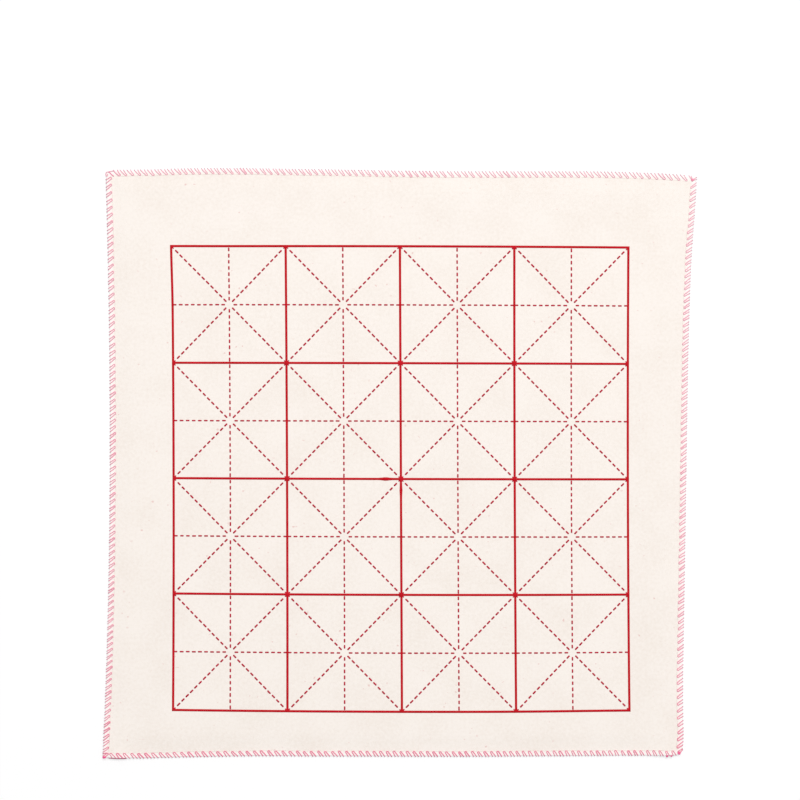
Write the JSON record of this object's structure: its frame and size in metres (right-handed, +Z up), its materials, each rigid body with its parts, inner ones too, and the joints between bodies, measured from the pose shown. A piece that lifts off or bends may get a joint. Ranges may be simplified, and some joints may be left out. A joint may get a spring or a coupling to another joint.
{
  "type": "calligraphy felt mat",
  "caption": "Square cream felt mat for brush calligraphy, with a printed red practice grid and a pink overlocked edge, laid flat under the paper.",
  "frame": {"origin": "on the table under the middle of the mat's outline", "axes": "+Z up out of the writing face, +Y away from the writer, towards the wide bare margin, +X to the writer's right"},
  "size_m": [0.5116, 0.5076, 0.0029],
  "materials": {
    "felt": "matt needled felt, cream",
    "red_ink": "thin screen-printed ink, crimson",
    "pink_thread": "soft twisted polyester yarn, pink",
    "cream_thread": "fine sewing thread, cream"
  },
  "bodies": {
    "root": {"felt_sheet": "felt", "grid_print": "red_ink", "upper_looper_near": "pink_thread", "upper_looper_right": "pink_thread", "upper_looper_far": "pink_thread", "upper_looper_left": "pink_thread", "lower_looper_near": "pink_thread", "lower_looper_right": "pink_thread", "lower_looper_far": "pink_thread", "lower_looper_left": "pink_thread", "needle_thread_near": "cream_thread", "needle_thread_right": "cream_thread", "needle_thread_far": "cream_thread", "needle_thread_left": "cream_thread", "corner_tack_near_left": "pink_thread", "corner_tack_near_right": "pink_thread", "corner_tack_far_right": "pink_thread", "corner_tack_far_left": "pink_thread"}
  },
  "joints": []
}
